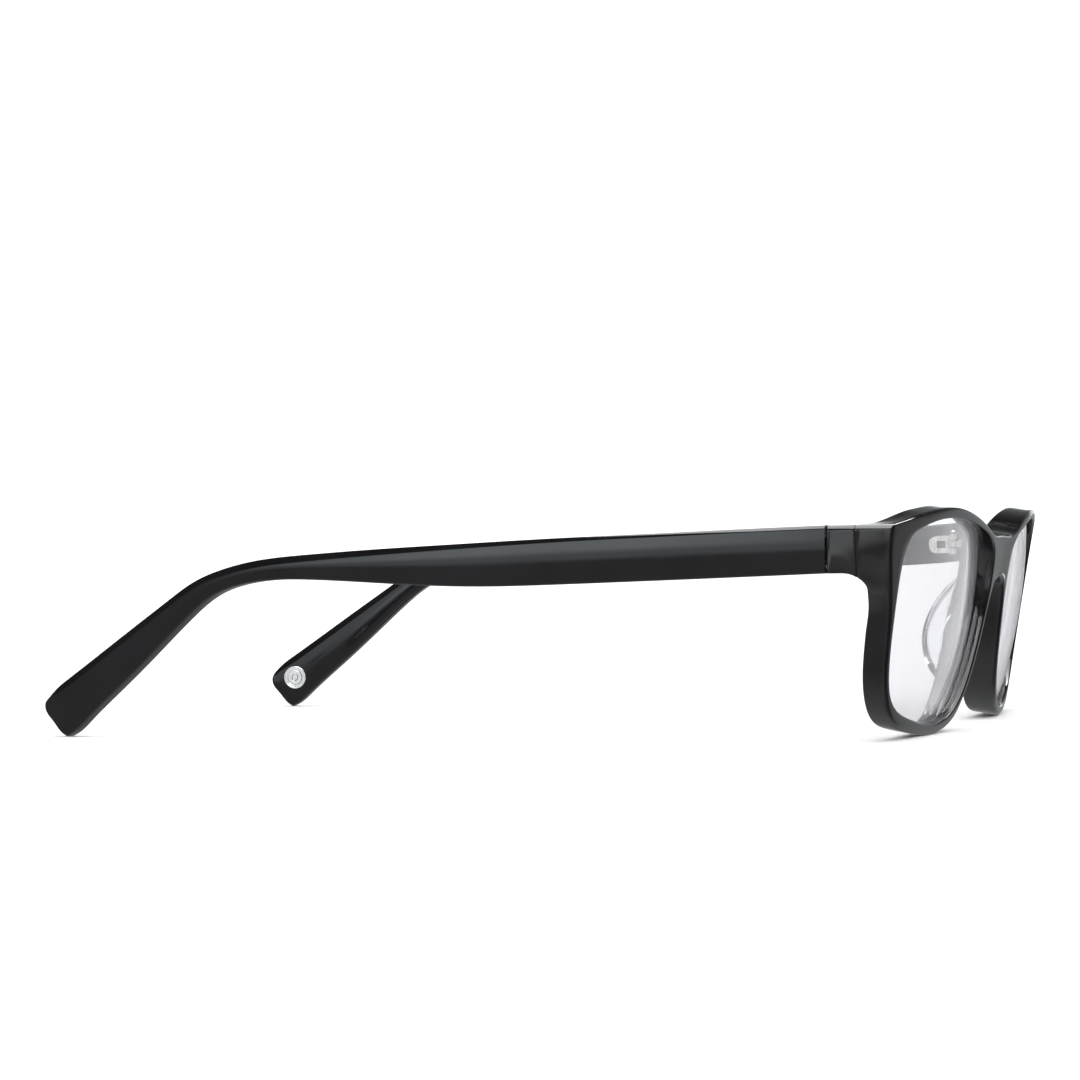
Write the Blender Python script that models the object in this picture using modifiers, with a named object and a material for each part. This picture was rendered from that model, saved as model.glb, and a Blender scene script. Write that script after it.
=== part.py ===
"""Full-rim acetate eyeglasses frame: front, bonded endpieces, lenses, clear nose pads, three-barrel hinges and temples.

The wearer looks along -Y, +X is the wearer's left, and the frame stands on its rims and temple tips at Z = 0.
Lengths are in metres, through the MM factor.
"""

from math import cos, pi, radians, sin, sqrt, tan

import bmesh
import bpy
from mathutils import Matrix, Vector

MM = 0.001
COLLECTION = "eyeglasses_frame"
CUTTERS = "cutters"

# Front: a sheet that is wrapped round a vertical cylinder and leans forward at its top.
WRAP_RADIUS = 325.5 * MM
LEAN = radians(9.7)
FRONT_Y = -71.2 * MM
FRONT_LIFT = 1.565 * MM
RIM_DEPTH = 4.0 * MM
NOSE_DEPTH = 5.9 * MM
NOSE_DEPTH_FROM = 44.0 * MM
NOSE_DEPTH_TO = 12.0 * MM
FRONT_EDGE = 0.5 * MM
BEND_REACH = 64.25 * MM
BEND_STEP = 5.3 * MM
GAP = 0.3 * MM

# Flat outlines are first filled one millimetre thick, with a small chamfer that the placing rules then spread.
PLATE_HALF = 0.5 * MM
FRONT_PLATE_EDGE = 0.12 * MM
TEMPLE_PLATE_EDGE = 0.1 * MM
EDGE_MARGIN = 0.01 * MM
SHARP_ANGLE = radians(30.0)

# Half of the front's outline, in millimetres: along the sheet from the middle, and up it.
BRIDGE_TOP = 30.6
BRIDGE_BOTTOM = 23.4
OUTER_HALF = [
    (7.0, 30.5), (12.6, 31.5), (18.0, 32.9), (26.6, 34.3), (36.4, 34.95), (46.0, 34.3), (57.0, 32.9), (65.2, 31.5),
    (65.0, 29.0), (63.4, 25.4), (61.6, 20.5), (60.3, 14.5), (58.8, 7.9), (55.9, 2.9), (52.2, 0.4), (45.0, -1.1),
    (35.5, -1.9), (27.0, -1.6), (20.6, -0.2), (15.6, 2.9), (12.2, 6.4), (9.7, 10.4), (7.9, 15.2), (6.4, 19.8),
    (4.4, 22.5),
]
CORNER = (65.2, 31.5)

# One eye's opening, in the same millimetres, clockwise from the temple side.
EYE_OPENING = [
    (58.9, 23.0), (58.4, 14.8), (56.9, 8.0), (53.4, 3.6), (45.0, 1.1), (34.2, -0.2), (24.4, 0.6), (18.6, 2.8),
    (14.6, 6.0), (11.6, 10.5), (9.5, 15.5), (8.0, 21.0), (7.7, 25.2), (9.5, 28.7), (14.0, 30.6), (23.0, 32.2),
    (35.5, 33.25), (46.5, 32.5), (54.4, 30.8), (57.9, 28.2),
]
EYE_CENTRE = (33.5 * MM, 16.5 * MM)

# Lens: a shallow meniscus whose bevelled edge runs in a groove of the rim.
LENS_RADIUS = 140.0 * MM
LENS_CENTRE_DEPTH = 0.7 * MM
LENS_TURN = 0.015
LENS_BEVEL = 1.0 * MM
LENS_INTO_RIM = 0.6 * MM
LENS_CUT_REACH = (24.0 * MM, 12.0 * MM)
LENS_CUT_STEP = 8.0 * MM
GROOVE_INTO_RIM = 1.0 * MM

# Temple line, seen from above: from the joint to the tip.
JOINT_X = 66.0 * MM
JOINT_Y = FRONT_Y + 11.43 * MM
TOE_IN = radians(5.25)
TEMPLE_THICK = 4.2 * MM
TIP_THICK = 3.2 * MM
TEMPLE_EDGE = 0.45 * MM
MITRE_LENGTH = 12.0 * MM

# Side view of a temple, in millimetres: back from the joint, and up from the floor. True marks a square corner.
TEMPLE_SIDE = [
    (0.15, 33.8, True), (28.5, 32.8, False), (62.5, 31.4, False), (89.0, 29.9, False), (101.0, 28.4, False),
    (109.5, 25.4, False), (114.5, 22.1, True), (133.6, 8.9, True), (136.3, 6.4, False), (136.6, 4.2, False),
    (133.4, 0.5, False), (132.4, 0.0, False), (130.7, 1.2, True), (109.5, 20.1, True), (104.0, 23.9, False),
    (97.0, 25.6, False), (89.0, 25.9, False), (76.0, 25.3, False), (60.0, 24.6, False), (38.0, 25.1, False),
    (0.15, 26.4, True),
]

# Endpiece, seen from the side: back from the front's face at the corner, and up from the floor.
ENDPIECE_TOP = 33.8
ENDPIECE_BOTTOM = 26.4
ENDPIECE_CURVE = 4.6
ENDPIECE_UNIT = 6.0 * MM
ENDPIECE_EDGE = 0.3 * MM
ENDPIECE_CUTS = (23.0 * MM, 33.0 * MM, 1.5 * MM)
ENDPIECE_NARROW = 2.6 * MM
ENDPIECE_NARROW_BELOW = 27.5 * MM
ENDPIECE_NARROW_OVER = 5.0 * MM
CORNER_LOW = 19.0 * MM
CORNER_RISE = 11.5 * MM
CORNER_LOW_REACH = 61.4 * MM
CORNER_FLARE = 3.8 * MM
CORNER_INNER = 58.5 * MM
CORNER_BLEND = 4.0 * MM
CORNER_FOOT = 18.0 * MM
CORNER_FADE = 6.0 * MM
CORNER_OPEN = 0.32

# Hinge: three barrels on one screw, just inboard of the temple's inner face.
HINGE_Z = 29.8 * MM
HINGE_HEIGHT = 3.9 * MM
BARREL_RADIUS = 1.2 * MM
HINGE_IN = TEMPLE_THICK + GAP + BARREL_RADIUS
BARREL_GAP = 0.3 * MM
BARREL_SIDES = 24
BARREL_BORE = 0.75 * MM
SCREW_RADIUS = 0.7 * MM
SCREW_HEAD_RADIUS = 1.0 * MM
SCREW_HEAD_HEIGHT = 0.45 * MM
SCREW_HEAD_LIFT = 0.15 * MM
SCREW_CHAMFER = 0.15 * MM
SCREW_SLOT_RADIUS = 0.18 * MM
SCREW_SLOT_TURN = radians(35.0)
LEAF_THICK = 0.7 * MM
LEAF_OUT = BARREL_RADIUS - LEAF_THICK / 2.0
LEAF_HEIGHT = 3.3 * MM
LEAF_LENGTH = 6.0 * MM
LEAF_START = 0.6
LEAF_WINDOW = [(2.2, 0.7, True), (4.4, 0.7, True), (4.4, -0.7, True), (2.2, -0.7, True)]
FRONT_LEAF = [
    (LEAF_START, 0.5, True), (4.3, 0.9, True), (5.3, 1.6, True), (6.0, 1.6, True),
    (6.0, -1.6, True), (5.3, -1.6, True), (4.3, -0.9, True), (LEAF_START, -0.5, True),
]

# Nose pad: a clear half moon bonded behind the nasal rim.
PAD_THICK = 2.2 * MM
PAD_EDGE = 0.5 * MM
PAD_CENTRE = (10.1 * MM, 14.6 * MM)
PAD_LEAN = radians(21.0)
PAD_SPLAY = radians(24.0)

# Half moon of a pad: how far it stands behind the rim, and up from the pad's middle.
PAD_ARC = [
    (0.0, 7.7, True), (2.5, 4.6, False), (3.9, 0.6, False), (3.7, -2.6, False), (2.0, -6.2, False), (0.0, -8.2, True),
]

# Metal core of the temple, and the round inlay near its tip.
WIRE_RADIUS = 0.7 * MM
WIRE_BORE_RADIUS = 1.0 * MM
WIRE_ROUTE = [
    (2.0, 30.0), (30.0, 29.0), (62.0, 28.0), (88.0, 27.7), (98.0, 26.9), (106.0, 24.6), (112.0, 21.2), (126.0, 9.6),
]
INLAY_CENTRE = (132.0, 5.6)
INLAY_RADIUS = 2.15 * MM
INLAY_THICK = 0.5 * MM
INLAY_RECESS = 0.8 * MM

SIDES = {"right": -1, "left": 1}


# ---------------------------------------------------------------- scene and materials

def clear_scene():
    for item in list(bpy.data.objects):
        bpy.data.objects.remove(item, do_unlink=True)
    for group in list(bpy.data.collections):
        bpy.data.collections.remove(group)


def new_collection(name):
    group = bpy.data.collections.new(name)
    bpy.context.scene.collection.children.link(group)
    return group


def make_material(name, colour, roughness, metallic=0.0, transmission=0.0):
    material = bpy.data.materials.new(name)
    material.use_nodes = True
    shader = material.node_tree.nodes["Principled BSDF"]
    shader.inputs["Base Color"].default_value = (*colour, 1.0)
    shader.inputs["Roughness"].default_value = roughness
    shader.inputs["Metallic"].default_value = metallic
    shader.inputs["Transmission Weight"].default_value = transmission
    return material


# ---------------------------------------------------------------- placing rules

def smoothstep(value):
    value = min(max(value, 0.0), 1.0)
    return value * value * (3.0 - 2.0 * value)


def front_point(along, up, behind):
    """A point of the front: along the sheet from its middle, up it, and behind its front face."""
    turn = along / WRAP_RADIUS
    radius = WRAP_RADIUS - behind
    back = WRAP_RADIUS - radius * cos(turn)
    return Vector((
        radius * sin(turn),
        back * cos(LEAN) - up * sin(LEAN) + FRONT_Y,
        up * cos(LEAN) + back * sin(LEAN) + FRONT_LIFT,
    ))


def open_corner(place, along, up, behind):
    """At the front's corner the depth runs level and outward to the joint, not square to the sheet."""
    share = smoothstep((abs(along) - CORNER_INNER) / CORNER_BLEND) * smoothstep((up - CORNER_FOOT) / CORNER_FADE)
    shift = behind * CORNER_OPEN * share
    return place + Vector((shift if along > 0.0 else -shift, 0.0, -behind * sin(LEAN) * share))


def front_depth(along):
    """The front is deeper at the nose than at the temples."""
    reach = (NOSE_DEPTH_FROM - abs(along)) / (NOSE_DEPTH_FROM - NOSE_DEPTH_TO)
    return RIM_DEPTH + (NOSE_DEPTH - RIM_DEPTH) * smoothstep(reach)


def lens_depth(along, up):
    """Depth of the lens's middle surface: a sphere, more curved than the sheet and turned a little to the nose."""
    out = along - EYE_CENTRE[0]
    high = up - EYE_CENTRE[1]
    across = out * out / 2.0 * (1.0 / LENS_RADIUS - 1.0 / WRAP_RADIUS)
    upright = high * high / 2.0 / LENS_RADIUS
    return LENS_CENTRE_DEPTH + across + upright - out * LENS_TURN


def temple_thickness(back):
    return TEMPLE_THICK + (TIP_THICK - TEMPLE_THICK) * back / (136.0 * MM)


def temple_matrix(side):
    """From temple axes (X inward from its outer face, Y back from the joint, Z up) to the frame."""
    return (
        Matrix.Translation((side * JOINT_X, JOINT_Y, 0.0))
        @ Matrix.Rotation(side * TOE_IN, 4, "Z")
        @ Matrix.Diagonal((-side, 1.0, 1.0, 1.0))
    )


# ---------------------------------------------------------------- modelling tools

def flat_outline(name, loops, half_thick, edge=0.0, steps=4):
    """A filled 2D curve; each loop is a list of (x, y, is_corner) in metres."""
    curve = bpy.data.curves.new(name, "CURVE")
    curve.dimensions = "2D"
    curve.fill_mode = "BOTH"
    curve.extrude = half_thick - edge
    curve.bevel_depth = edge
    curve.bevel_resolution = 0
    curve.offset = -edge
    for loop in loops:
        spline = curve.splines.new("BEZIER")
        spline.bezier_points.add(len(loop) - 1)
        spline.use_cyclic_u = True
        spline.resolution_u = steps
        for point, (x, y, is_corner) in zip(spline.bezier_points, loop):
            point.co = (x, y, 0.0)
            kind = "VECTOR" if is_corner else "AUTO"
            point.handle_left_type = kind
            point.handle_right_type = kind
    return bpy.data.objects.new(name, curve)


def to_mesh(curve_object, collection):
    """Replaces a curve object with a welded mesh object of the same name."""
    bpy.context.scene.collection.objects.link(curve_object)
    graph = bpy.context.evaluated_depsgraph_get()
    mesh = bpy.data.meshes.new_from_object(curve_object.evaluated_get(graph))
    name = curve_object.name
    matrix = curve_object.matrix_world.copy()
    bpy.data.objects.remove(curve_object, do_unlink=True)
    part = bpy.data.objects.new(name, mesh)
    part.matrix_world = matrix
    collection.objects.link(part)
    shape = bmesh.new()
    shape.from_mesh(mesh)
    bmesh.ops.remove_doubles(shape, verts=shape.verts, dist=0.002 * MM)
    bmesh.ops.dissolve_degenerate(shape, edges=shape.edges, dist=0.002 * MM)
    bmesh.ops.recalc_face_normals(shape, faces=shape.faces)
    shape.to_mesh(mesh)
    shape.free()
    return part


def slice_mesh(part, axis, start, stop, step):
    """Cuts the faces along one axis, so that they can bend."""
    shape = bmesh.new()
    shape.from_mesh(part.data)
    normal = Vector((0.0, 0.0, 0.0))
    normal[axis] = 1.0
    place = start
    while place < stop:
        bmesh.ops.bisect_plane(
            shape, geom=shape.verts[:] + shape.edges[:] + shape.faces[:], dist=0.01 * MM,
            plane_co=normal * place, plane_no=normal,
        )
        place += step
    bmesh.ops.triangulate(shape, faces=[face for face in shape.faces if len(face.verts) > 4])
    shape.to_mesh(part.data)
    shape.free()


def bend_mesh(part, rule):
    """Moves every vertex by a rule and sets the faces to point out."""
    for vertex in part.data.vertices:
        vertex.co = rule(vertex.co)
    shape = bmesh.new()
    shape.from_mesh(part.data)
    bmesh.ops.recalc_face_normals(shape, faces=shape.faces)
    shape.to_mesh(part.data)
    shape.free()


def add_cylinder(name, collection, radius, height, sides=BARREL_SIDES):
    mesh = bpy.data.meshes.new(name)
    shape = bmesh.new()
    bmesh.ops.create_cone(
        shape, cap_ends=True, segments=sides, radius1=radius, radius2=radius, depth=height,
    )
    shape.to_mesh(mesh)
    shape.free()
    part = bpy.data.objects.new(name, mesh)
    collection.objects.link(part)
    return part


def boolean(part, other, operation):
    modifier = part.modifiers.new(other.name, "BOOLEAN")
    modifier.operation = operation
    modifier.object = other
    modifier.solver = "EXACT"


def as_cutter(part):
    part.hide_render = True
    part.display_type = "WIRE"


def finish(part, material, smooth=True):
    part.data.materials.clear()
    part.data.materials.append(material)
    if smooth:
        part.data.shade_smooth()
        part.data.set_sharp_from_angle(angle=SHARP_ANGLE)


def in_metres(points, side=1):
    return [(side * point[0] * MM, point[1] * MM, bool(len(point) > 2 and point[2])) for point in points]


# ---------------------------------------------------------------- front and lenses

def eye_loop(side):
    return in_metres(EYE_OPENING, side)


def front_loops():
    half = [(x, y, (x, y) == CORNER) for x, y in OUTER_HALF]
    other = [(-x, y, corner) for x, y, corner in reversed(half)]
    outer = in_metres([(0.0, BRIDGE_TOP)] + half + [(0.0, BRIDGE_BOTTOM)] + other)
    return [outer, eye_loop(1), eye_loop(-1)]


def make_front(parts, cutters, material):
    front = to_mesh(flat_outline("front_frame", front_loops(), PLATE_HALF, FRONT_PLATE_EDGE, 3), parts)
    slice_mesh(front, 0, -BEND_REACH, BEND_REACH, BEND_STEP)
    bend_mesh(front, front_rule)
    for name, side in SIDES.items():
        groove = make_lens_body(f"groove_cutter_{name}", side, GROOVE_INTO_RIM, cutters)
        as_cutter(groove)
        boolean(front, groove, "DIFFERENCE")
    finish(front, material)
    return front


def front_rule(point):
    """The outline's unit-deep sheet, spread to the front's depth with small chamfers, then wrapped."""
    depth = front_depth(point.x)
    inset = PLATE_HALF - abs(point.z)
    on_edge = inset < FRONT_PLATE_EDGE + EDGE_MARGIN
    behind = inset / FRONT_PLATE_EDGE * FRONT_EDGE if on_edge else depth / 2.0
    if point.z < 0.0:
        behind = depth - behind
    return open_corner(front_point(point.x, point.y, behind), point.x, point.y, behind)


def make_lens_body(name, side, into_rim, collection):
    """The lens, or the wider body that cuts its groove: both have a V edge."""
    outline = flat_outline(name, [eye_loop(side)], LENS_BEVEL, LENS_BEVEL, 2)
    outline.data.offset = into_rim - LENS_BEVEL
    lens = to_mesh(outline, collection)
    for axis, middle in enumerate((side * EYE_CENTRE[0], EYE_CENTRE[1])):
        reach = LENS_CUT_REACH[axis]
        slice_mesh(lens, axis, middle - reach, middle + reach + EDGE_MARGIN, LENS_CUT_STEP)
    bend_mesh(lens, lens_rule)
    return lens


def lens_rule(point):
    return front_point(point.x, point.y, lens_depth(abs(point.x), point.y) - point.z)


# ---------------------------------------------------------------- endpieces

def corner_reach(up):
    """How far along the sheet the front's corner reaches at a height."""
    return CORNER_LOW_REACH + CORNER_FLARE * smoothstep((up - CORNER_LOW) / CORNER_RISE)


def sheet_back(x, z):
    """Where the back of the sheet is, and how high up it, at a place beside the corner."""
    radius = WRAP_RADIUS - RIM_DEPTH
    back = WRAP_RADIUS - sqrt(radius * radius - x * x)
    up = (z - FRONT_LIFT - back * sin(LEAN)) / cos(LEAN)
    return back * cos(LEAN) - up * sin(LEAN) + FRONT_Y, up


def endpiece_rule(side):
    """From the block's side view, one unit thick and one unit long, to the corner of the front."""
    def place(point):
        forward = -point.x / ENDPIECE_UNIT
        outward = 0.5 - side * point.z / ENDPIECE_UNIT
        z = point.y
        joint_inner = JOINT_X - TEMPLE_THICK
        low = smoothstep((ENDPIECE_NARROW_BELOW - z) / ENDPIECE_NARROW_OVER)
        sheet_inner = joint_inner - ENDPIECE_NARROW * low
        up = sheet_back(sheet_inner, z)[1]
        reach = corner_reach(up)
        sheet_outer = open_corner(front_point(reach, up, RIM_DEPTH), reach, up, RIM_DEPTH).x
        outer = JOINT_X + (sheet_outer - JOINT_X) * forward
        inner = joint_inner + (sheet_inner - joint_inner) * forward
        x = inner + (outer - inner) * outward
        joint_y = JOINT_Y - GAP / 2.0
        y = joint_y + (sheet_back(x, z)[0] + GAP - joint_y) * forward
        return Vector((side * x, y, z))

    return place


def make_endpiece(name, side, parts, material):
    """A block bonded behind the front's corner; its underside curves down into the back of the rim."""
    lowest = ENDPIECE_BOTTOM - ENDPIECE_CURVE
    unit = ENDPIECE_UNIT / MM
    side_view = [
        (-unit, ENDPIECE_TOP, True),
        (0.0, ENDPIECE_TOP, True),
        (0.0, ENDPIECE_BOTTOM, True),
        (-0.42 * unit, ENDPIECE_BOTTOM - 0.1, False),
        (-0.78 * unit, ENDPIECE_BOTTOM - 1.2, False),
        (-0.94 * unit, lowest, True),
        (-unit, lowest, True),
    ]
    block = to_mesh(flat_outline(name, [in_metres(side_view)], ENDPIECE_UNIT / 2.0, ENDPIECE_EDGE, 3), parts)
    slice_mesh(block, 1, *ENDPIECE_CUTS)
    bend_mesh(block, endpiece_rule(side))
    finish(block, material)
    return block


# ---------------------------------------------------------------- temples

def make_temple(name, side, parts, cutters, material):
    profile = in_metres(TEMPLE_SIDE)
    temple = to_mesh(flat_outline(name, [profile], PLATE_HALF, TEMPLE_PLATE_EDGE, 2), parts)
    bend_mesh(temple, temple_rule)
    temple.data.transform(temple_matrix(side))
    if side > 0:
        temple.data.flip_normals()
    cut_wire_bore(temple, name, side, cutters)
    cut_inlay_recess(temple, name, side, cutters)
    finish(temple, material)
    return temple


def temple_rule(point):
    """The outline's unit-thick plate, spread to the temple's thickness with small chamfers."""
    thick = temple_thickness(point.x)
    inset = PLATE_HALF - abs(point.z)
    on_edge = inset < TEMPLE_PLATE_EDGE + EDGE_MARGIN
    inward = inset / TEMPLE_PLATE_EDGE * TEMPLE_EDGE if on_edge else thick / 2.0
    if point.z < 0.0:
        inward = thick - inward
    mitre = inward * tan(TOE_IN) * smoothstep(1.0 - point.x / MITRE_LENGTH)
    return Vector((inward, point.x + mitre, point.y))


def wire_object(name, side, radius, start_back, collection):
    """The core's route as a tube; the bore for it starts outside the joint face."""
    curve = bpy.data.curves.new(name, "CURVE")
    curve.dimensions = "3D"
    curve.bevel_depth = radius
    curve.bevel_resolution = 1
    curve.use_fill_caps = True
    curve.resolution_u = 3
    spline = curve.splines.new("BEZIER")
    spline.bezier_points.add(len(WIRE_ROUTE) - 1)
    route = [(start_back, WIRE_ROUTE[0][1])] + WIRE_ROUTE[1:]
    for point, (back, up) in zip(spline.bezier_points, route):
        inward = temple_thickness(back * MM) / 2.0
        point.co = (inward, back * MM, up * MM)
        point.handle_left_type = "AUTO"
        point.handle_right_type = "AUTO"
    tube = to_mesh(bpy.data.objects.new(name, curve), collection)
    bend_mesh(tube, lambda point: temple_matrix(side) @ point)
    return tube


def cut_wire_bore(temple, name, side, cutters):
    bore = wire_object(f"{name}_bore", side, WIRE_BORE_RADIUS, -1.0, cutters)
    as_cutter(bore)
    boolean(temple, bore, "DIFFERENCE")


def make_core_wire(name, side, parts, material):
    wire = wire_object(name, side, WIRE_RADIUS, WIRE_ROUTE[0][0], parts)
    finish(wire, material)
    return wire


def inlay_disc(name, side, radius, low, high, collection):
    """A disc across the temple, between two depths from its outer face."""
    disc = add_cylinder(name, collection, radius, high - low, 32)
    spin = Matrix.Rotation(pi / 2.0, 4, "Y")
    back, up = INLAY_CENTRE
    place = Matrix.Translation(((low + high) / 2.0, back * MM, up * MM))
    bend_mesh(disc, lambda point: temple_matrix(side) @ place @ spin @ point)
    return disc


def cut_inlay_recess(temple, name, side, cutters):
    inner = temple_thickness(INLAY_CENTRE[0] * MM)
    recess = inlay_disc(
        f"{name}_recess", side, INLAY_RADIUS + GAP, inner - INLAY_RECESS, inner + 1.0 * MM, cutters,
    )
    as_cutter(recess)
    boolean(temple, recess, "DIFFERENCE")


def make_inlay(name, side, parts, material):
    inner = temple_thickness(INLAY_CENTRE[0] * MM)
    disc = inlay_disc(name, side, INLAY_RADIUS, inner - INLAY_THICK, inner, parts)
    finish(disc, material)
    return disc


# ---------------------------------------------------------------- hinges

def hinge_axis(side):
    """The middle of a hinge, on its vertical axis."""
    return Vector((side * (JOINT_X - HINGE_IN), JOINT_Y, HINGE_Z))


def barrel(name, side, low, high, collection):
    part = add_cylinder(name, collection, BARREL_RADIUS, high - low)
    part.location = hinge_axis(side) + Vector((0.0, 0.0, (low + high) / 2.0))
    return part


def leaf_plate(name, side, towards, outline, collection):
    """A thin plate on the inner face; towards is +1 for the temple's leaf and -1 for the front's."""
    plate = to_mesh(flat_outline(name, outline, LEAF_THICK / 2.0, 0.0, 3), collection)
    turn = Matrix.Rotation(side * TOE_IN if towards > 0 else 0.0, 3, "Z")
    bend_mesh(plate, lambda point: turn @ Vector((point.z + side * LEAF_OUT, towards * point.x, point.y)))
    plate.location = hinge_axis(side)
    return plate


def temple_leaf_outline():
    """A plate with a round end and a window in its middle."""
    half = LEAF_HEIGHT / 2.0 / MM
    end = LEAF_LENGTH / MM
    middle = end - half
    slope = half * sqrt(0.5)
    plate = [
        (LEAF_START, half, True), (middle, half, True), (middle + slope, slope, False), (end, 0.0, False),
        (middle + slope, -slope, False), (middle, -half, True), (LEAF_START, -half, True),
    ]
    return [in_metres(plate), in_metres(LEAF_WINDOW)]


def make_hinge(name, side, parts, cutters, steel):
    third = (HINGE_HEIGHT - 2.0 * BARREL_GAP) / 3.0
    half = HINGE_HEIGHT / 2.0
    bore = add_cylinder(f"hinge_bore_{name}", cutters, BARREL_BORE + GAP / 3.0, HINGE_HEIGHT * 2.0, 16)
    bore.location = hinge_axis(side)
    as_cutter(bore)

    temple_leaf = leaf_plate(f"temple_hinge_leaf_{name}", side, 1, temple_leaf_outline(), parts)
    slot = add_cylinder(f"hinge_slot_{name}", cutters, BARREL_RADIUS + GAP, third + 2.0 * BARREL_GAP)
    slot.location = hinge_axis(side)
    as_cutter(slot)
    for label, low in (("upper", half - third), ("lower", -half)):
        knuckle = barrel(f"temple_knuckle_{label}_{name}", side, low, low + third, cutters)
        as_cutter(knuckle)
        boolean(temple_leaf, knuckle, "UNION")
    boolean(temple_leaf, slot, "DIFFERENCE")
    boolean(temple_leaf, bore, "DIFFERENCE")
    finish(temple_leaf, steel)

    front_leaf = leaf_plate(f"front_hinge_leaf_{name}", side, -1, [in_metres(FRONT_LEAF)], parts)
    knuckle = barrel(f"front_knuckle_{name}", side, -third / 2.0, third / 2.0, cutters)
    as_cutter(knuckle)
    boolean(front_leaf, knuckle, "UNION")
    boolean(front_leaf, bore, "DIFFERENCE")
    finish(front_leaf, steel)
    make_screw(f"hinge_screw_{name}", side, parts, cutters, steel)


def make_screw(name, side, parts, cutters, steel):
    """A turned screw with a low head above the top barrel and a slot across it."""
    half = HINGE_HEIGHT / 2.0
    shank = SCREW_RADIUS
    head = SCREW_HEAD_RADIUS
    head_low = half + SCREW_HEAD_LIFT
    head_high = head_low + SCREW_HEAD_HEIGHT
    profile = [
        (0.0, head_high), (head - SCREW_CHAMFER, head_high), (head, head_high - SCREW_CHAMFER), (head, head_low),
        (shank, head_low), (shank, SCREW_CHAMFER - half), (shank - SCREW_CHAMFER, -half), (0.0, -half),
    ]
    mesh = bpy.data.meshes.new(name)
    mesh.from_pydata([(x, 0.0, z) for x, z in profile], [(i, i + 1) for i in range(len(profile) - 1)], [])
    screw = bpy.data.objects.new(name, mesh)
    parts.objects.link(screw)
    screw.location = hinge_axis(side)
    turn = screw.modifiers.new("turn", "SCREW")
    turn.steps = 16
    turn.render_steps = 16
    turn.use_merge_vertices = True
    turn.merge_threshold = 0.00001
    slot = add_cylinder(f"{name}_slot", cutters, SCREW_SLOT_RADIUS, 4.0 * head, 4)
    slot.rotation_euler = (pi / 2.0, 0.0, SCREW_SLOT_TURN)
    slot.location = hinge_axis(side) + Vector((0.0, 0.0, head_high))
    as_cutter(slot)
    boolean(screw, slot, "DIFFERENCE")
    screw.data.materials.append(steel)


# ---------------------------------------------------------------- nose pads

def make_nose_pad(name, side, parts, material):
    """Half moon: its straight edge follows the nasal rim and its round edge stands back from it."""
    pad = to_mesh(flat_outline(name, [in_metres(PAD_ARC)], PAD_THICK / 2.0, PAD_EDGE, 4), parts)

    def stand_back(point):
        along = PAD_CENTRE[0] - point.y * tan(PAD_LEAN) + point.x * tan(PAD_SPLAY) + point.z
        return mirror @ front_point(along, PAD_CENTRE[1] + point.y, front_depth(along) + GAP + point.x)

    mirror = Matrix.Diagonal((side, 1.0, 1.0))
    bend_mesh(pad, stand_back)
    finish(pad, material)
    return pad


# ---------------------------------------------------------------- the whole object

def hang_on_pivot(name, side, parts):
    """The pieces that fold with a temple hang on an empty on the hinge's axis, where they already are."""
    pivot = bpy.data.objects.new(f"pivot_{name}", None)
    pivot.location = hinge_axis(side)
    parts.objects.link(pivot)
    bpy.context.view_layer.update()
    for stem in ("temple", "temple_core_wire", "inlay_disc", "temple_hinge_leaf"):
        piece = parts.objects[f"{stem}_{name}"]
        piece.parent = pivot
        piece.matrix_parent_inverse = pivot.matrix_world.inverted()


def main():
    clear_scene()
    parts = new_collection(COLLECTION)
    cutters = new_collection(CUTTERS)
    black = make_material("black_acetate", (0.012, 0.012, 0.014), 0.12)
    clear = make_material("clear_acetate", (0.9, 0.92, 0.94), 0.08, transmission=0.9)
    lens_clear = make_material("lens_resin", (0.93, 0.94, 0.96), 0.02, transmission=1.0)
    steel = make_material("hinge_steel", (0.72, 0.71, 0.68), 0.25, metallic=1.0)
    core_steel = make_material("core_steel", (0.6, 0.6, 0.6), 0.35, metallic=1.0)

    make_front(parts, cutters, black)
    for name, side in SIDES.items():
        make_endpiece(f"endpiece_{name}", side, parts, black)
        lens = make_lens_body(f"lens_{name}", side, LENS_INTO_RIM, parts)
        finish(lens, lens_clear)
        make_nose_pad(f"nose_pad_{name}", side, parts, clear)
        make_temple(f"temple_{name}", side, parts, cutters, black)
        make_core_wire(f"temple_core_wire_{name}", side, parts, core_steel)
        make_inlay(f"inlay_disc_{name}", side, parts, core_steel)
        make_hinge(name, side, parts, cutters, steel)
        hang_on_pivot(name, side, parts)


main()
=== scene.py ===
"""Looks of the eyeglasses frame: smooth acetate, demo lenses, clear pads, hinge metal and studio."""

from math import cos, pi, radians, sin, sqrt, tan

import bmesh
import bpy
import numpy as np
from mathutils import Matrix, Vector


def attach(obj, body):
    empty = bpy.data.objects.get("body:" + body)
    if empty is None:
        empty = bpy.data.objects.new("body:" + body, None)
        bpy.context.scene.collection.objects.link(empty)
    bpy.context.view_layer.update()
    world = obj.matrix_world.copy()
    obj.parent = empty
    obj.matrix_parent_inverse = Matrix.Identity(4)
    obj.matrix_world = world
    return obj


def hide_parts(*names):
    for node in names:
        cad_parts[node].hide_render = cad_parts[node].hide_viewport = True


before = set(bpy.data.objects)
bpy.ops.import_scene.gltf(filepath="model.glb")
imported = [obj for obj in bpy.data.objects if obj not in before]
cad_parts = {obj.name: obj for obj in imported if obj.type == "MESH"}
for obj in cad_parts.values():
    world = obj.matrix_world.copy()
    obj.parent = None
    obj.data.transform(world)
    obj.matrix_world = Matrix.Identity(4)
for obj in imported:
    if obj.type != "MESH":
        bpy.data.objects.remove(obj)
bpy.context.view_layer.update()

MM = 0.001
WELD = 0.000002
BLOCK_SHARP = radians(50.0)
TEMPLE_SHARP = radians(40.0)
FINE_SHARP = radians(25.0)
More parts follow.
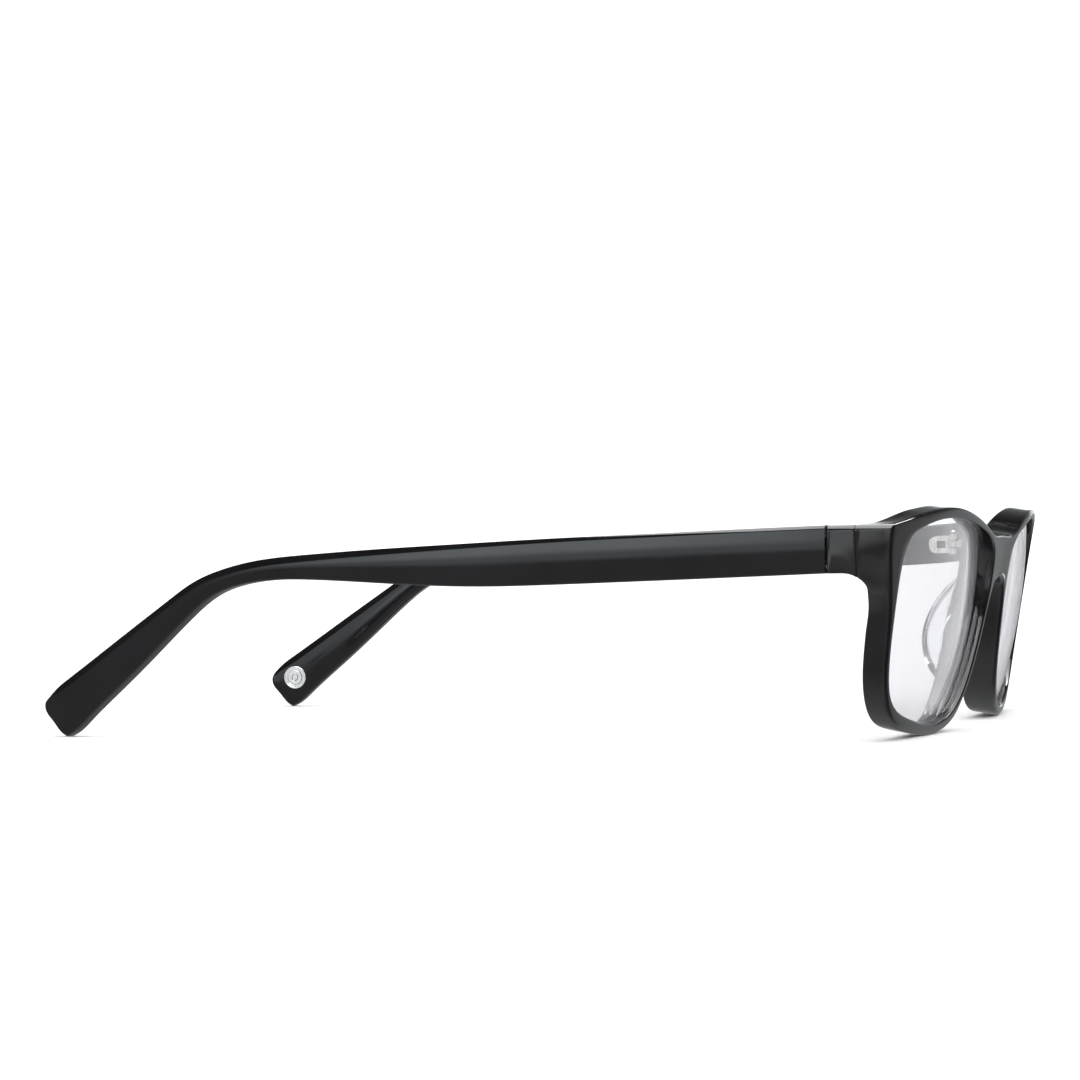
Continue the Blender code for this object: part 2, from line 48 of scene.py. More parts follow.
SIDES = {"right": -1, "left": 1}

# The front's sheet, wrapped round an upright cylinder and leaning forward, as in the CAD.
WRAP_RADIUS = 325.5
LEAN = radians(9.7)
FRONT_Y = -71.2
FRONT_LIFT = 1.565
RIM_DEPTH = 4.0
NOSE_DEPTH = 5.9
NOSE_DEPTH_FROM = 44.0
NOSE_DEPTH_TO = 12.0

# Joint plane and temples.
JOINT_X = 66.0
JOINT_Y = FRONT_Y + 11.43
TOE_IN = radians(5.25)
TEMPLE_THICK = 4.2
TIP_THICK = 3.2

# Rim, in millimetres along the sheet and up it: a point of the eye's opening, and the outer
# point that faces it. Rows run from the outer top corner down, along the bottom, and back over the top.
RIM = [
    (58.3, 27.6, 65.2, 31.5),
    (58.85, 25.2, 64.7, 27.9),
    (58.95, 22.4, 62.95, 23.8),
    (58.8, 19.2, 61.35, 19.4),
    (58.35, 14.2, 60.2, 14.2),
    (57.3, 8.9, 59.05, 8.6),
    (55.4, 5.2, 56.9, 4.3),
    (51.5, 2.7, 52.4, 0.55),
    (45.0, 1.15, 45.2, -1.1),
    (34.2, -0.2, 35.3, -1.9),
    (24.4, 0.6, 25.8, -1.45),
    (18.6, 2.8, 19.4, 0.35),
    (14.6, 6.0, 14.0, 4.4),
    (11.6, 10.5, 10.4, 9.1),
    (9.6, 15.4, 7.9, 15.0),
    (8.4, 19.0, 6.3, 19.6),
    (7.95, 20.9, 4.5, 22.2),
    (7.75, 22.7, 0.0, 23.4),
    (7.8, 25.3, 0.0, 27.0),
    (8.7, 27.8, 0.0, 30.6),
    (11.8, 29.9, 9.0, 30.85),
    (18.0, 31.45, 16.6, 32.5),
    (26.5, 32.7, 26.6, 34.3),
    (35.5, 33.25, 36.4, 34.95),
    (46.5, 32.5, 46.5, 34.25),
    (53.6, 31.05, 55.6, 33.1),
    (56.6, 29.8, 60.5, 32.3),
    (57.6, 28.7, 63.2, 31.85),
]
BRIDGE_LOW = 17
BRIDGE_HIGH = 19
EYE_CENTRE = (33.5, 16.5)


# ---------------------------------------------------------------- small tools

def smoothstep(value):
    value = min(max(value, 0.0), 1.0)
    return value * value * (3.0 - 2.0 * value)


def mix(first, second, share):
    return first + (second - first) * share


def smooth_line(points, before=(), after=()):
    """A curve of continuous curvature through the points, read by index; ghost points shape its ends."""
    pins = np.array(list(before) + list(points) + list(after), float)
    gaps = np.linalg.norm(np.diff(pins, axis=0), axis=1)
    count = len(pins)
    matrix = np.eye(count)
    right = np.zeros_like(pins)
    for i in range(1, count - 1):
        matrix[i, i - 1:i + 2] = gaps[i - 1], 2.0 * (gaps[i - 1] + gaps[i]), gaps[i]
        right[i] = 6.0 * ((pins[i + 1] - pins[i]) / gaps[i] - (pins[i] - pins[i - 1]) / gaps[i - 1])
    bends = np.linalg.solve(matrix, right)

    def at(index):
        place = index + len(before)
        i = int(min(max(place, 0), count - 2))
        b = place - i
        a = 1.0 - b
        curve = ((a ** 3 - a) * bends[i] + (b ** 3 - b) * bends[i + 1]) * gaps[i] ** 2 / 6.0
        return a * pins[i] + b * pins[i + 1] + curve

    return at


def mesh_object(name, vertices, faces, material):
    """A smooth mesh in metres from points in millimetres; coincident points are welded."""
    mesh = bpy.data.meshes.new(name)
    mesh.from_pydata([tuple(c * MM for c in vertex) for vertex in vertices], [], faces)
    shape = bmesh.new()
    shape.from_mesh(mesh)
    bmesh.ops.remove_doubles(shape, verts=shape.verts, dist=WELD)
    bmesh.ops.dissolve_degenerate(shape, edges=shape.edges, dist=WELD)
    bmesh.ops.recalc_face_normals(shape, faces=shape.faces)
    shape.to_mesh(mesh)
    shape.free()
    mesh.shade_smooth()
    thing = bpy.data.objects.new(name, mesh)
    bpy.context.scene.collection.objects.link(thing)
    mesh.materials.append(material)
    return thing


def grid_faces(columns, rows, loop_columns=False, loop_rows=False):
    """Quads over a grid whose vertices are listed column by column."""
    faces = []
    for c in range(columns if loop_columns else columns - 1):
        for r in range(rows if loop_rows else rows - 1):
            here = c * rows
            beside = (c + 1) % columns * rows
            r2 = (r + 1) % rows
            faces.append((here + r, beside + r, beside + r2, here + r2))
    return faces


def mirrored(thing, name):
    """A copy of a piece across X = 0, with its faces still out."""
    mesh = thing.data.copy()
    mesh.transform(Matrix.Diagonal((-1.0, 1.0, 1.0, 1.0)))
    mesh.flip_normals()
    mesh.name = name
    copy = bpy.data.objects.new(name, mesh)
    bpy.context.scene.collection.objects.link(copy)
    return copy


# ---------------------------------------------------------------- materials

NOISE_RANGE = (0.35, 0.65)
COLOUR_RANGE = (0.3, 0.7)
BUMP_DEPTH = 0.00002
ACETATE_IOR = 1.49
LENS_IOR = 1.5
PAD_IOR = 1.45


def node_material(name):
    material = bpy.data.materials.new(name)
    material.use_nodes = True
    tree = material.node_tree
    shader = tree.nodes["Principled BSDF"]
    coordinates = tree.nodes.new("ShaderNodeTexCoord")
    return material, tree, shader, coordinates.outputs["Object"]


def add_noise(tree, vector, scale, detail=3.0, stretch=(1.0, 1.0, 1.0)):
    mapping = tree.nodes.new("ShaderNodeMapping")
    mapping.inputs["Scale"].default_value = stretch
    noise = tree.nodes.new("ShaderNodeTexNoise")
    noise.inputs["Scale"].default_value = scale
    noise.inputs["Detail"].default_value = detail
    tree.links.new(vector, mapping.inputs["Vector"])
    tree.links.new(mapping.outputs["Vector"], noise.inputs["Vector"])
    return noise.outputs["Fac"]


def add_range(tree, value, low, high):
    """Spreads a noise's middle values over a range."""
    ranged = tree.nodes.new("ShaderNodeMapRange")
    ranged.inputs["From Min"].default_value, ranged.inputs["From Max"].default_value = NOISE_RANGE
    ranged.inputs["To Min"].default_value = low
    ranged.inputs["To Max"].default_value = high
    tree.links.new(value, ranged.inputs["Value"])
    return ranged.outputs["Result"]


def add_colours(tree, value, low, high):
    """Blends two colours over a noise's middle values."""
    ramp = tree.nodes.new("ShaderNodeValToRGB")
    for element, position, colour in zip(ramp.color_ramp.elements, COLOUR_RANGE, (low, high)):
        element.position = position
        element.color = (*colour, 1.0)
    tree.links.new(value, ramp.inputs["Fac"])
    return ramp.outputs["Color"]


def add_bump(tree, shader, value, strength):
    bump = tree.nodes.new("ShaderNodeBump")
    bump.inputs["Strength"].default_value = strength
    bump.inputs["Distance"].default_value = BUMP_DEPTH
    tree.links.new(value, bump.inputs["Height"])
    tree.links.new(bump.outputs["Normal"], shader.inputs["Normal"])


def acetate_material():
    """Polished black acetate: faint clouding of the pigment and slight haze left by the tumbling."""
    material, tree, shader, vector = node_material("polished_black_acetate")
    cloud = add_noise(tree, vector, 90.0, 4.0)
    haze = add_noise(tree, vector, 420.0, 3.0, (1.0, 0.35, 1.0))
    black = add_colours(tree, cloud, (0.0055, 0.0055, 0.006), (0.0085, 0.0085, 0.0095))
    tree.links.new(black, shader.inputs["Base Color"])
    tree.links.new(add_range(tree, haze, 0.035, 0.085), shader.inputs["Roughness"])
    shader.inputs["IOR"].default_value = ACETATE_IOR
    add_bump(tree, shader, add_noise(tree, vector, 1400.0, 2.0), 0.02)
    return material


def lens_material():
    """Clear demo lens with a faint milky film, as display lenses have."""
    material, tree, shader, vector = node_material("demo_lens_resin")
    film = add_noise(tree, vector, 60.0, 2.0)
    tint = add_colours(tree, film, (0.76, 0.76, 0.79), (0.78, 0.78, 0.805))
    tree.links.new(tint, shader.inputs["Base Color"])
    tree.links.new(add_range(tree, film, 0.0, 0.01), shader.inputs["Roughness"])
    shader.inputs["IOR"].default_value = LENS_IOR
    shader.inputs["Transmission Weight"].default_value = 1.0
    haze = tree.nodes.new("ShaderNodeBsdfTranslucent")
    haze.inputs["Color"].default_value = (0.93, 0.93, 0.97, 1.0)
    blend = tree.nodes.new("ShaderNodeMixShader")
    tree.links.new(add_range(tree, film, 0.075, 0.09), blend.inputs["Fac"])
    tree.links.new(shader.outputs["BSDF"], blend.inputs[1])
    tree.links.new(haze.outputs["BSDF"], blend.inputs[2])
    tree.links.new(blend.outputs["Shader"], tree.nodes["Material Output"].inputs["Surface"])
    return material


def pad_material():
    """Clear acetate with an uneven polish."""
    material, tree, shader, vector = node_material("clear_acetate_pad")
    film = add_noise(tree, vector, 300.0, 3.0)
    tint = add_colours(tree, film, (0.95, 0.95, 0.955), (0.98, 0.98, 0.98))
    tree.links.new(tint, shader.inputs["Base Color"])
    tree.links.new(add_range(tree, film, 0.01, 0.05), shader.inputs["Roughness"])
    shader.inputs["IOR"].default_value = PAD_IOR
    shader.inputs["Transmission Weight"].default_value = 1.0
    return material


def metal_material(name, low, high, rough_low, rough_high, stretch, metallic):
    """Drawn or turned metal: fine lines along one axis and slightly uneven brightness."""
    material, tree, shader, vector = node_material(name)
    lines = add_noise(tree, vector, 2600.0, 3.0, stretch)
    patches = add_noise(tree, vector, 500.0, 3.0)
    tree.links.new(add_colours(tree, patches, low, high), shader.inputs["Base Color"])
    tree.links.new(add_range(tree, lines, rough_low, rough_high), shader.inputs["Roughness"])
    shader.inputs["Metallic"].default_value = metallic
    add_bump(tree, shader, lines, 0.08)
    return material


# ---------------------------------------------------------------- the front's sheet

def front_point(along, up, behind):
    """A point of the front: along the sheet from its middle, up it, and behind its front face."""
    turn = along / WRAP_RADIUS
    radius = WRAP_RADIUS - behind
    back = WRAP_RADIUS - radius * cos(turn)
    return np.array((
        radius * sin(turn),
        back * cos(LEAN) - up * sin(LEAN) + FRONT_Y,
        up * cos(LEAN) + back * sin(LEAN) + FRONT_LIFT,
    ))


def front_depth(along):
    reach = (NOSE_DEPTH_FROM - abs(along)) / (NOSE_DEPTH_FROM - NOSE_DEPTH_TO)
    return mix(RIM_DEPTH, NOSE_DEPTH, smoothstep(reach))


OPENING_POINTS = [(row[0], row[1]) for row in RIM]
opening_at = smooth_line(OPENING_POINTS + OPENING_POINTS[:1], OPENING_POINTS[-4:], OPENING_POINTS[1:5])
LOWER_POINTS = [(row[2], row[3]) for row in RIM[:BRIDGE_LOW + 1]]
lower_at = smooth_line(LOWER_POINTS, (), [(-s, v) for s, v in LOWER_POINTS[-2:-5:-1]])
UPPER_POINTS = [(row[2], row[3]) for row in RIM[BRIDGE_HIGH:]] + [(RIM[0][2], RIM[0][3])]
upper_at = smooth_line(UPPER_POINTS, [(-s, v) for s, v in UPPER_POINTS[3:0:-1]], ())


def outer_at(index):
    """The outer outline at a row index; between the two bridge rows it runs up the middle."""
    if index <= BRIDGE_LOW:
        return lower_at(index)
    if index >= BRIDGE_HIGH:
        return upper_at(index - BRIDGE_HIGH)
    share = (index - BRIDGE_LOW) / (BRIDGE_HIGH - BRIDGE_LOW)
    return np.array((0.0, mix(RIM[BRIDGE_LOW][3], RIM[BRIDGE_HIGH][3], share)))


def side_of(line_at, index, step=0.02):
    """Unit normal on the right of a curve at an index."""
    ahead = line_at(index + step) - line_at(index - step)
    ahead /= np.linalg.norm(ahead)
    return np.array((ahead[1], -ahead[0]))


# ---------------------------------------------------------------- corner block behind the sheet

CORNER_CHAMFER = 0.5
BLOCK_TOP = 33.8
BLOCK_BOTTOM = 26.4
BLOCK_INNER_X = JOINT_X - TEMPLE_THICK
SEAM_Y = FRONT_Y + 7.0
FILLET_Z = 23.0
FILLET_HIGH = BLOCK_BOTTOM - FILLET_Z
FILLET_Y = FRONT_Y + 5.55
FILLET_LONG = 3.55
FILLET_BLEND = 0.12
FILLET_TRIES = 24
BLOCK_SIDE_UP = (23.7, 31.0)
TOP_REACH = 62.3
BROW_FROM = 51.0
BROW_CLEAR = 0.12
TOP_NORMAL = -0.8
WALL_EASE = 1.15
BLOCK_TUCK = 2.6
TUCK_TOP = 26.6
TUCK_HIGH = 4.6

# The side wall below the block, by height up the sheet: where each change starts, and over what height.
SIDE_ROWS = 4.0
SIDE_SHARE = (16.5, 6.5)
SIDE_THIN = (13.5, 7.5)
SIDE_THINNED = 0.4
SIDE_FILLET = (14.0, 3.0)

# Rounding of the back edge: on the sheet, on the fillet and at the seam.
EDGE_BACK = 0.45
EDGE_FILLET = 0.22
EDGE_FILLET_UP = (18.0, 3.0)
EDGE_SEAM = 0.06
EDGE_SEAM_UP = (21.0, 1.0)
SEAM_REACH = 0.8


def rise(value, span):
    """A smooth step that starts at span[0] and takes span[1]."""
    return smoothstep((value - span[0]) / span[1])


def fillet_z(y):
    """Height of the underside at a distance back."""
    left = min(max(1.0 - (y - FILLET_Y) / FILLET_LONG, 0.0), 1.0)
    return FILLET_Z + FILLET_HIGH * sqrt(1.0 - left * left)


class Spoke:
    """One cross-section of the rim, from the opening to the outer outline."""

    def __init__(self, index, outer=None, normal=None, joint=None):
        self.index = index
        self.inner = opening_at(index % len(RIM))
        self.inner_normal = -side_of(opening_at, index % len(RIM))
        if outer is None:
            outer = outer_at(index)
            normal = side_of(outer_at, min(max(index, 0.02), len(RIM) - 0.02))
        if index in (BRIDGE_LOW, BRIDGE_HIGH):
            normal = np.array((0.0, 1.0 if index == BRIDGE_LOW else -1.0))
        self.outer = outer
        self.outer_normal = normal
        self.inside_bridge = BRIDGE_LOW < index < BRIDGE_HIGH
        self.upper = index > BRIDGE_HIGH and self.outer_normal[1] < TOP_NORMAL
        self.depth = front_depth(outer[0])
        self.inner_depth = front_depth(self.inner[0])
        self.start = front_point(outer[0], outer[1], 0.0)
        self.share = 0.0
        self.end = self.depth
        self.back_edge = EDGE_BACK
        if self.upper and outer[0] > BROW_FROM:
            self.set_brow()
        elif self.index < SIDE_ROWS or self.index > len(RIM) - 1:
            self.set_side()
        if joint is not None:
            self.joint = joint

    def set_brow(self):
        """The top runs back into the endpiece, with a hollow curve behind the brow."""
        s = self.outer[0]
        reach = min((s - BROW_FROM) / (TOP_REACH - BROW_FROM), 1.0)
        self.share = smoothstep(reach)
        out = max((s - TOP_REACH) / (RIM[0][2] - CORNER_CHAMFER - TOP_REACH), 0.0)
        over_block = mix(BLOCK_INNER_X, JOINT_X - CORNER_CHAMFER, out)
        self.joint = np.array((over_block if out else self.start[0] - BROW_CLEAR, BLOCK_TOP))
        back = self.start[1] + self.depth * cos(LEAN)
        hollow = 1.0 - sqrt(1.0 - reach * reach)
        self.end = (mix(back, SEAM_Y, hollow) - self.start[1]) / cos(LEAN)
        self.back_edge = mix(EDGE_BACK, EDGE_SEAM, smoothstep(hollow * 2.0 - 1.0))

    def set_side(self):
        """The side runs back into the endpiece, over the fillet of its underside."""
        v = self.outer[1]
        low, high = BLOCK_SIDE_UP
        self.share = rise(v, SIDE_SHARE)
        joint_z = mix(BLOCK_BOTTOM, BLOCK_TOP - CORNER_CHAMFER, (v - low) / (high - low))
        self.joint = np.array((JOINT_X, joint_z))
        sheet_y = self.start[1] + (self.depth - SIDE_THINNED * rise(v, SIDE_THIN)) * cos(LEAN)
        near, far = FILLET_Y, SEAM_Y
        if self.wall_at_y(0.0, far)[2] < fillet_z(far):
            for _ in range(FILLET_TRIES):
                middle = (near + far) / 2.0
                if self.wall_at_y(0.0, middle)[2] < fillet_z(middle):
                    far = middle
                else:
                    near = middle
        past = far - sheet_y
        end_y = sheet_y + (past + sqrt(past * past + FILLET_BLEND * FILLET_BLEND)) / 2.0
        end_y = mix(sheet_y, end_y, rise(v, SIDE_FILLET))
        self.end = (min(end_y, max(SEAM_Y, sheet_y)) - self.start[1]) / cos(LEAN)
        seam = smoothstep(1.0 - (SEAM_Y - end_y) / SEAM_REACH) * rise(v, EDGE_SEAM_UP)
        self.back_edge = mix(mix(EDGE_BACK, EDGE_FILLET, rise(v, EDGE_FILLET_UP)), EDGE_SEAM, seam)

    def wall(self, inset, behind):
        """A point of the outer wall, a little inside its outline, at a depth behind the front face."""
        s, v = self.outer + self.outer_normal * inset
        square = front_point(s, v, behind)
        if self.share == 0.0:
            return square
        start = front_point(s, v, 0.0)
        joint = self.joint + self.outer_normal * inset
        y = start[1] + behind * cos(LEAN)
        run = (y - start[1]) / (JOINT_Y - start[1])
        across = mix(start[0], joint[0], run ** WALL_EASE)
        level = np.array((across, y, mix(start[2], joint[1], smoothstep(run))))
        return mix(square, level, self.share)

    def wall_at_y(self, inset, y):
        return self.wall(inset, (y - self.start[1]) / cos(LEAN))


def block_inner_x(z):
    """The block's inner face, which moves in below the block so that the fillet stays thick."""
    return BLOCK_INNER_X - BLOCK_TUCK * smoothstep((TUCK_TOP - z) / TUCK_HIGH)


def sheet_back_y(x, z):
    """The back of the sheet at a place across and up."""
    radius = WRAP_RADIUS - RIM_DEPTH
    back = WRAP_RADIUS - sqrt(radius * radius - x * x)
    up = (z - FRONT_LIFT - back * sin(LEAN)) / cos(LEAN)
    return back * cos(LEAN) - up * sin(LEAN) + FRONT_Y


# Rows of points of each section, and the sizes of its small parts.
ROUND_STEPS = 4
GROOVE_ROWS = 8
FACE_ROWS = 4
END_ROWS = 2
CLIFF_ROWS = 4
BACK_ROWS = 3
WALL_ROWS = 6
ROWS_ACROSS = END_ROWS + CLIFF_ROWS + BACK_ROWS
EDGE_OPENING = 0.35
EDGE_FRONT = 0.75
EDGE_FRONT_BLOCK = 0.42
GROOVE_HALF = 0.6
GROOVE_DEEP = 0.55
GROOVE_FLAT = 0.08
GROOVE_LIP = 0.04
GROOVE_LIP_DEPTH = 0.05
GUSSET_FOOT = 0.35
GUSSET_OVER = 3.0
GUSSET_BRINK = 0.9
THINNEST = 0.02
INNER_DROP = 0.5


def arc(radius, steps=ROUND_STEPS):
    """Inset and drop of a quarter round, from the wall to the face."""
    angles = [pi / 2 * k / steps for k in range(steps + 1)]
    return [(radius * (1.0 - cos(angle)), radius * (1.0 - sin(angle))) for angle in angles]


def spoke_rows(spoke):
    """The section's points: the opening's wall, round the back, the outer wall and the front face."""
    s, v = spoke.inner
    groove = lens_depth(s, v)

    def opening(inset, behind):
        point = spoke.inner + spoke.inner_normal * inset
        return front_point(point[0], point[1], behind)

    depth = spoke.inner_depth
    inner_wall = [
        opening(0.0, mix(EDGE_OPENING, groove - GROOVE_HALF, 0.5)),
        opening(0.0, groove - GROOVE_HALF - GROOVE_LIP_DEPTH),
        opening(GROOVE_LIP, groove - GROOVE_HALF),
        opening(GROOVE_DEEP, groove - GROOVE_FLAT),
        opening(GROOVE_DEEP, groove + GROOVE_FLAT),
        opening(GROOVE_LIP, groove + GROOVE_HALF),
        opening(0.0, groove + GROOVE_HALF + GROOVE_LIP_DEPTH),
        opening(0.0, mix(depth - EDGE_OPENING, groove + GROOVE_HALF, 0.5)),
    ]
    rounding = arc(EDGE_OPENING)
    back_inner = [opening(inset, depth - drop) for inset, drop in rounding]
    front_inner = [opening(inset, drop) for inset, drop in reversed(rounding)]
    foot_from = back_inner[-1]

    if spoke.inside_bridge:
        middle_back = front_point(0.0, spoke.outer[1], NOSE_DEPTH)
        middle_front = front_point(0.0, spoke.outer[1], 0.0)
        back = [mix(foot_from, middle_back, k / ROWS_ACROSS) for k in range(1, ROWS_ACROSS + 1)]
        blank = [middle_back] * (ROUND_STEPS + WALL_ROWS - 1) + [middle_front] * (ROUND_STEPS + 1)
        face = [mix(middle_front, front_inner[0], k / FACE_ROWS) for k in range(1, FACE_ROWS)]
        return inner_wall + back_inner + back + blank + face + front_inner

    end = spoke.end
    edge = spoke.back_edge
    outer_back = spoke.wall(edge, end)
    if end > spoke.depth + THINNEST:
        z_in = outer_back[2]
        if not spoke.upper:
            up_block = max((spoke.joint[1] - BLOCK_BOTTOM) / (BLOCK_TOP - BLOCK_BOTTOM), 0.0)
            z_in -= INNER_DROP * up_block * max(outer_back[0] - BLOCK_INNER_X, 0.0)
        x_in = min(block_inner_x(z_in), outer_back[0] - THINNEST)
        brink = np.array((x_in, outer_back[1], z_in))
        foot = np.array((x_in, min(sheet_back_y(x_in, z_in), outer_back[1]), z_in))
        if spoke.upper:
            ledge = spoke.outer + spoke.outer_normal * edge
            on_sheet = mix(foot_from, front_point(ledge[0], ledge[1], spoke.depth), GUSSET_FOOT)
            gusset = smoothstep((TOP_REACH - spoke.outer[0]) / GUSSET_OVER)
            foot = mix(foot, on_sheet, gusset)
            brink = mix(brink, mix(foot, outer_back, GUSSET_BRINK), gusset)
        back = [mix(foot_from, foot, k / BACK_ROWS) for k in range(1, BACK_ROWS + 1)]
        back += [mix(foot, brink, k / CLIFF_ROWS) for k in range(1, CLIFF_ROWS + 1)]
        back += [mix(brink, outer_back, k / END_ROWS) for k in range(1, END_ROWS + 1)]
    else:
        back = [mix(foot_from, outer_back, k / ROWS_ACROSS) for k in range(1, ROWS_ACROSS + 1)]
    back_outer = [spoke.wall(inset, end - drop) for inset, drop in reversed(arc(edge))][1:]
    edge_front = mix(EDGE_FRONT, EDGE_FRONT_BLOCK, spoke.share)
    wall = [spoke.wall(0.0, mix(end - edge, edge_front, k / WALL_ROWS)) for k in range(1, WALL_ROWS)]
    front_outer = [spoke.wall(inset, drop) for inset, drop in arc(edge_front)]
    face = [mix(front_outer[-1], front_inner[0], k / FACE_ROWS) for k in range(1, FACE_ROWS)]
    return inner_wall + back_inner + back + back_outer + wall + front_outer + face + front_inner


CORNER_TANGENT = 0.3
CORNER_GAP = 0.06
CORNER_STEP = 0.03
CORNER_CREASE = 0.08


def corner_spokes():
    """Four sections over the flat chamfer that runs along the block's outer top edge."""
    last = len(RIM)
    corner = np.array((RIM[0][2], RIM[0][3]))
    side_way = lower_at(CORNER_TANGENT) - corner
    side_way /= np.linalg.norm(side_way)
    top_way = upper_at(last - BRIDGE_HIGH - CORNER_TANGENT) - corner
    top_way /= np.linalg.norm(top_way)
    side = corner + side_way * CORNER_CHAMFER
    top = corner + top_way * CORNER_CHAMFER
    slant = (side_way + top_way) / np.linalg.norm(side_way + top_way)
    joint_side = np.array((JOINT_X, BLOCK_TOP - CORNER_CHAMFER))
    joint_top = np.array((JOINT_X - CORNER_CHAMFER, BLOCK_TOP))
    spread = 1.0 / cos(pi / 8.0) ** 2 / 2.0
    top_normal = (np.array((0.0, -1.0)) + slant) * spread
    side_normal = (np.array((-1.0, 0.0)) + slant) * spread
    places = [
        (top + top_way * CORNER_GAP, top_normal, joint_top - np.array((CORNER_GAP, 0.0))),
        (mix(top, side, CORNER_CREASE), top_normal, mix(joint_top, joint_side, CORNER_CREASE)),
        (mix(top, side, 1.0 - CORNER_CREASE), side_normal, mix(joint_top, joint_side, 1.0 - CORNER_CREASE)),
        (side + side_way * CORNER_GAP, side_normal, joint_side - np.array((0.0, CORNER_GAP))),
    ]
    return [Spoke(last - CORNER_STEP * (4 - k), *place) for k, place in enumerate(places)]


# How many sections each row of the rim gets, and how close they come to the corner's own ones.
BRIDGE_STEPS = 3
SIDE_STEPS = 14
BROW_STEPS = 10
RIM_STEPS = 7
FIRST_INDEX = 0.25
LAST_GAP = 0.5
BLOCK_ROWS = 3
BROW_ROWS = 4


def rim_spokes():
    """Sections all round one eye, closer together at the corner and over the block's ends."""
    last = len(RIM)
    indices = []
    for row in range(last):
        if BRIDGE_LOW <= row < BRIDGE_HIGH:
            steps = BRIDGE_STEPS
        elif row < BLOCK_ROWS:
            steps = SIDE_STEPS
        elif row > last - BROW_ROWS:
            steps = BROW_STEPS
        else:
            steps = RIM_STEPS
        indices += [row + k / steps for k in range(steps)]
    return [Spoke(index) for index in indices if FIRST_INDEX < index <= last - LAST_GAP] + corner_spokes()


def make_front_body(material):
    """Both rims and the bridge as one closed skin; the sections inside the bridge have no outer wall."""
    spokes = rim_spokes()
    columns = [spoke_rows(spoke) for spoke in spokes]
    rows = len(columns[0])
    vertices = [point for column in columns for point in column]
    faces = []
    wall_start = GROOVE_ROWS + ROUND_STEPS + ROWS_ACROSS
    wall_rows = range(wall_start, wall_start + 2 * ROUND_STEPS + WALL_ROWS)
    count = len(columns)
    for c in range(count):
        c2 = (c + 1) % count
        bridge = spokes[c].inside_bridge or spokes[c2].inside_bridge
        for r in range(rows):
            if bridge and r in wall_rows:
                continue
            r2 = (r + 1) % rows
            faces.append((c * rows + r, c2 * rows + r, c2 * rows + r2, c * rows + r2))
    half = len(vertices)
    vertices += [np.array((-x, y, z)) for x, y, z in vertices]
    faces += [tuple(half + i for i in reversed(face)) for face in faces]
    return mesh_object("acetate_front", vertices, faces, material)


SEAM_GAP = 0.02
JOINT_GAP = 0.12
JOINT_EDGE = 0.22
BLOCK_STATIONS = 8


def make_endpiece(material):
    """The left block between the seam and the joint; the right one is its mirror."""
    spokes = rim_spokes()
    side = [spoke for spoke in spokes if spoke.index < SIDE_ROWS and spoke.outer[1] > BLOCK_SIDE_UP[0]]
    top = [spoke for spoke in spokes if spoke.index > len(RIM) - BROW_ROWS and spoke.outer[0] > TOP_REACH]
    outline = sorted(side, key=lambda spoke: -spoke.index) + sorted(top, key=lambda spoke: -spoke.index)
    first = SEAM_Y + SEAM_GAP
    last = JOINT_Y - JOINT_GAP
    between = [k / BLOCK_STATIONS for k in range(1, BLOCK_STATIONS)]
    stations = [(first + drop, inset) for inset, drop in reversed(arc(EDGE_SEAM, 2))]
    stations += [(mix(first + EDGE_SEAM, last - JOINT_EDGE, share), 0.0) for share in between]
    stations += [(last - drop, inset) for inset, drop in arc(JOINT_EDGE, 3)]
    columns = []
    for y, inset in stations:
        ring = [spoke.wall_at_y(inset, y) for spoke in outline]
        high = ring[-1][2]
        low = fillet_z(y) + inset
        stretch = (high - low) / (high - ring[0][2])
        ring = [np.array((px, py, high - (high - pz) * stretch)) for px, py, pz in ring]
        inner_x = BLOCK_INNER_X + inset
        ring += [np.array((inner_x, y, mix(high, low, share))) for share in (0.03, 0.2, 0.5, 0.8, 0.97)]
        ring += [np.array((mix(inner_x, ring[0][0], share), y, low)) for share in (0.03, 0.3, 0.7, 0.93)]
        columns.append(ring)
    rows = len(columns[0])
    vertices = [point for column in columns for point in column]
    faces = grid_faces(len(columns), rows, loop_rows=True)
    faces += [tuple(range(rows)), tuple(reversed(range((len(columns) - 1) * rows, len(columns) * rows)))]
    block = mesh_object("acetate_endpiece_left", vertices, faces, material)
    block.data.set_sharp_from_angle(angle=BLOCK_SHARP)
    return block


# ---------------------------------------------------------------- lenses

LENS_RADIUS = 110.0
LENS_CENTRE_DEPTH = 1.0
LENS_TURN = 0.015
LENS_THICK = 2.0
LENS_GAP = 0.12
LENS_SPOKES = 144
LENS_RINGS = 14
LENS_RING_EASE = 0.8


def lens_depth(along, up):
    """Depth of the lens's middle surface behind the sheet's front face."""
    out = along - EYE_CENTRE[0]
    high = up - EYE_CENTRE[1]
    across = out * out / 2.0 * (1.0 / LENS_RADIUS - 1.0 / WRAP_RADIUS)
    return LENS_CENTRE_DEPTH + across + high * high / 2.0 / LENS_RADIUS - out * LENS_TURN


